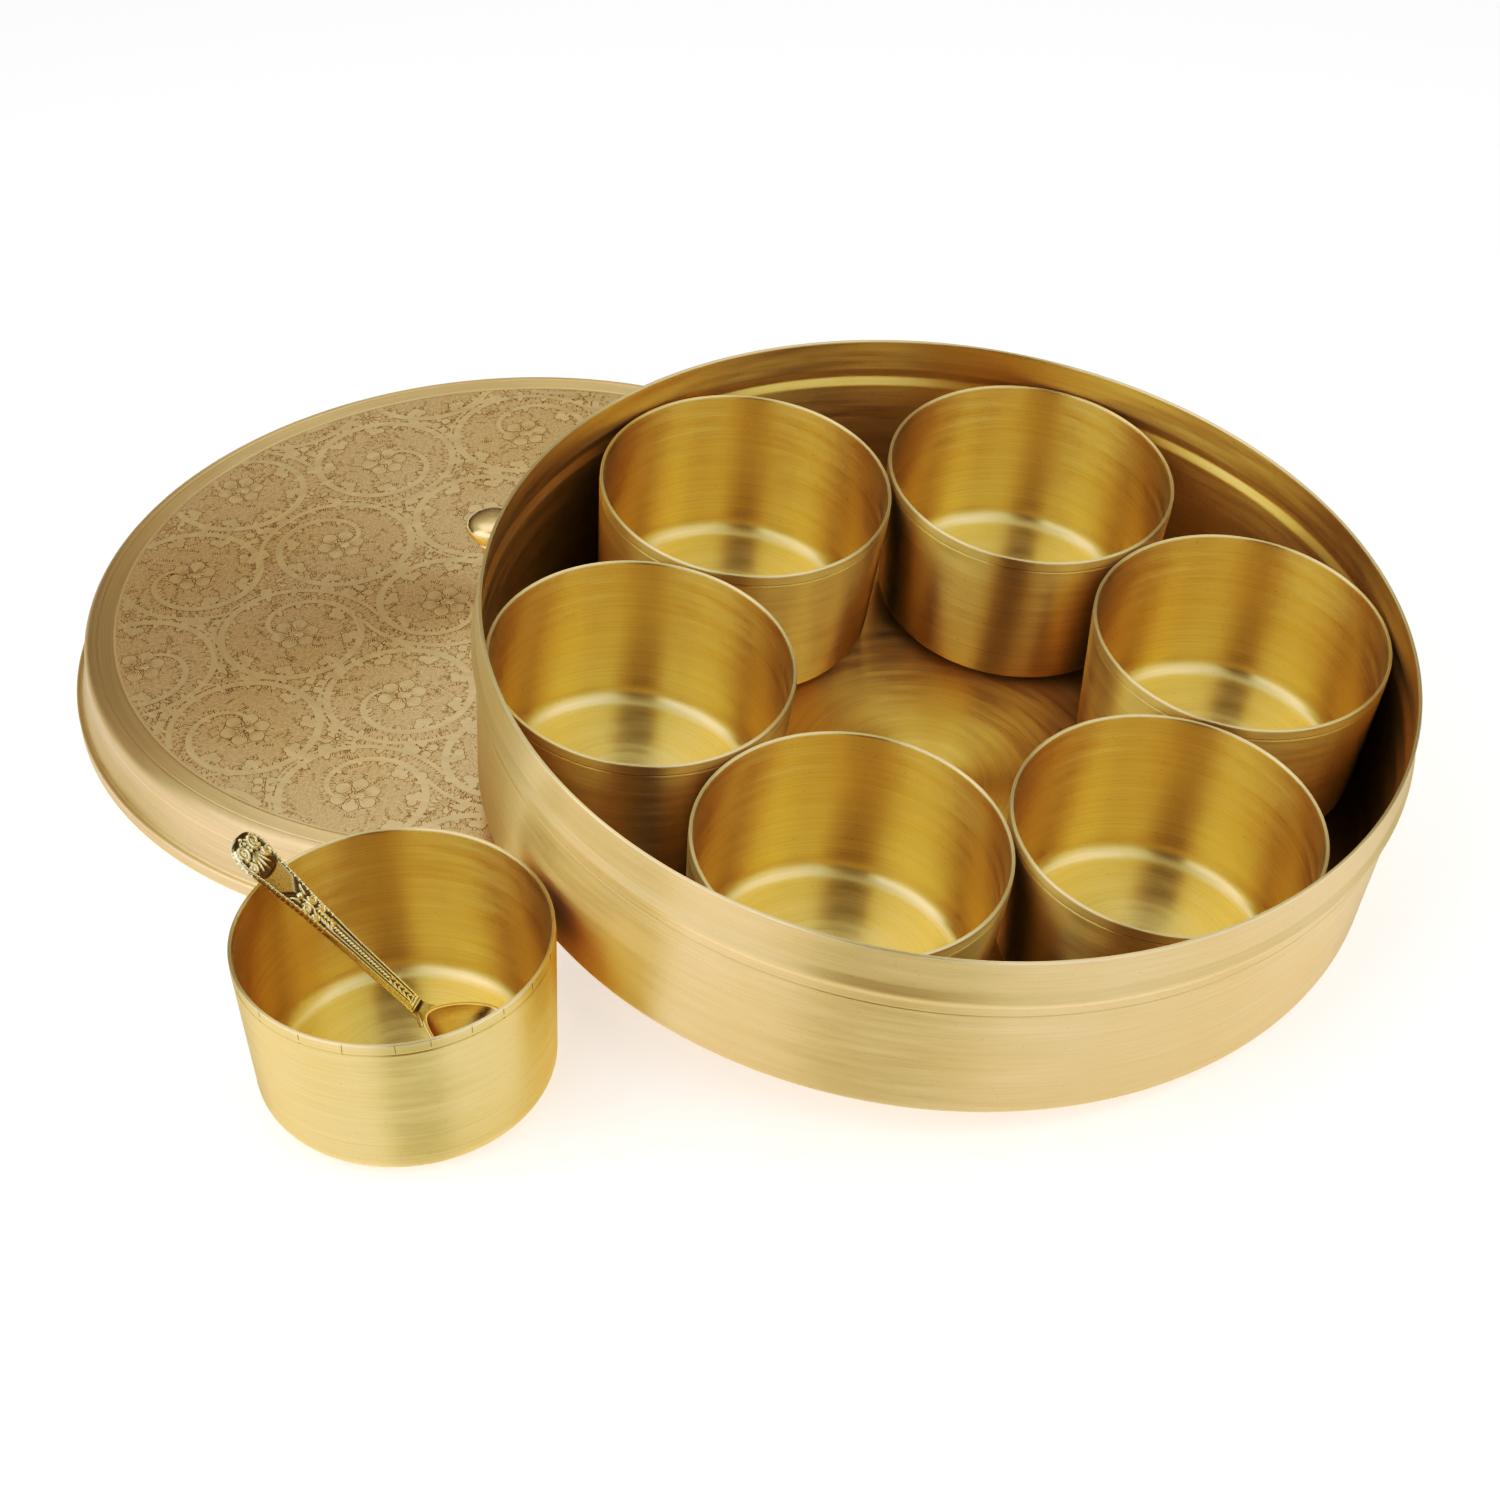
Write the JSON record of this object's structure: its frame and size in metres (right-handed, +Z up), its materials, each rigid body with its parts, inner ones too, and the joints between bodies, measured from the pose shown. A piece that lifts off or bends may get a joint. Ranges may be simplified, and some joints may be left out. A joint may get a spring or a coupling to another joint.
{
  "type": "spice box",
  "caption": "Round spun-brass spice box laid open: box leaning on its etched lid, with loose round bowls inside and in front and a small ornate spoon.",
  "frame": {"origin": "on the table, under the middle of the whole laid-out set's bounding box", "axes": "+X along the set's width, from the lid to the box; +Y away from the front bowl; +Z up"},
  "size_m": [0.3494, 0.3192, 0.0849],
  "materials": {
    "lid_brass": "satin, etched on top",
    "knob_brass": "polished",
    "screw_brass": "plain",
    "box_brass": "brushed round",
    "bowl_brass": "brushed round",
    "spoon_brass": "polished with dark recesses"
  },
  "bodies": {
    "lid": {"lid_shell": "lid_brass", "lid_knob": "knob_brass", "knob_washer": "screw_brass", "knob_screw": "screw_brass"},
    "box": {"box_body": "box_brass"},
    "bowl_1": {"bowl_1": "bowl_brass"},
    "bowl_2": {"bowl_2": "bowl_brass"},
    "bowl_3": {"bowl_3": "bowl_brass"},
    "bowl_4": {"bowl_4": "bowl_brass"},
    "bowl_5": {"bowl_5": "bowl_brass"},
    "bowl_6": {"bowl_6": "bowl_brass"},
    "bowl_7": {"bowl_7": "bowl_brass"},
    "spoon": {"spoon": "spoon_brass"}
  },
  "joints": [
    {"name": "box_lift", "type": "slide", "parent": "lid", "child": "box", "axis": [0, 0, 1], "range_m": [0, 0.12]},
    {"name": "bowl_1_lift", "type": "slide", "parent": "box", "child": "bowl_1", "axis": [0.1239, -0.0687, 0.9899], "range_m": [0, 0.1]},
    {"name": "bowl_2_lift", "type": "slide", "parent": "box", "child": "bowl_2", "axis": [0.1239, -0.0687, 0.9899], "range_m": [0, 0.1]},
    {"name": "bowl_3_lift", "type": "slide", "parent": "box", "child": "bowl_3", "axis": [0.1239, -0.0687, 0.9899], "range_m": [0, 0.1]},
    {"name": "bowl_4_lift", "type": "slide", "parent": "box", "child": "bowl_4", "axis": [0.1239, -0.0687, 0.9899], "range_m": [0, 0.1]},
    {"name": "bowl_5_lift", "type": "slide", "parent": "box", "child": "bowl_5", "axis": [0.1239, -0.0687, 0.9899], "range_m": [0, 0.1]},
    {"name": "bowl_6_lift", "type": "slide", "parent": "box", "child": "bowl_6", "axis": [0.1239, -0.0687, 0.9899], "range_m": [0, 0.1]},
    {"name": "bowl_7_lift", "type": "slide", "parent": "lid", "child": "bowl_7", "axis": [0, 0, 1], "range_m": [0, 0.1]},
    {"name": "spoon_lift", "type": "slide", "parent": "bowl_7", "child": "spoon", "axis": [0, 0, 1], "range_m": [0, 0.08]}
  ]
}
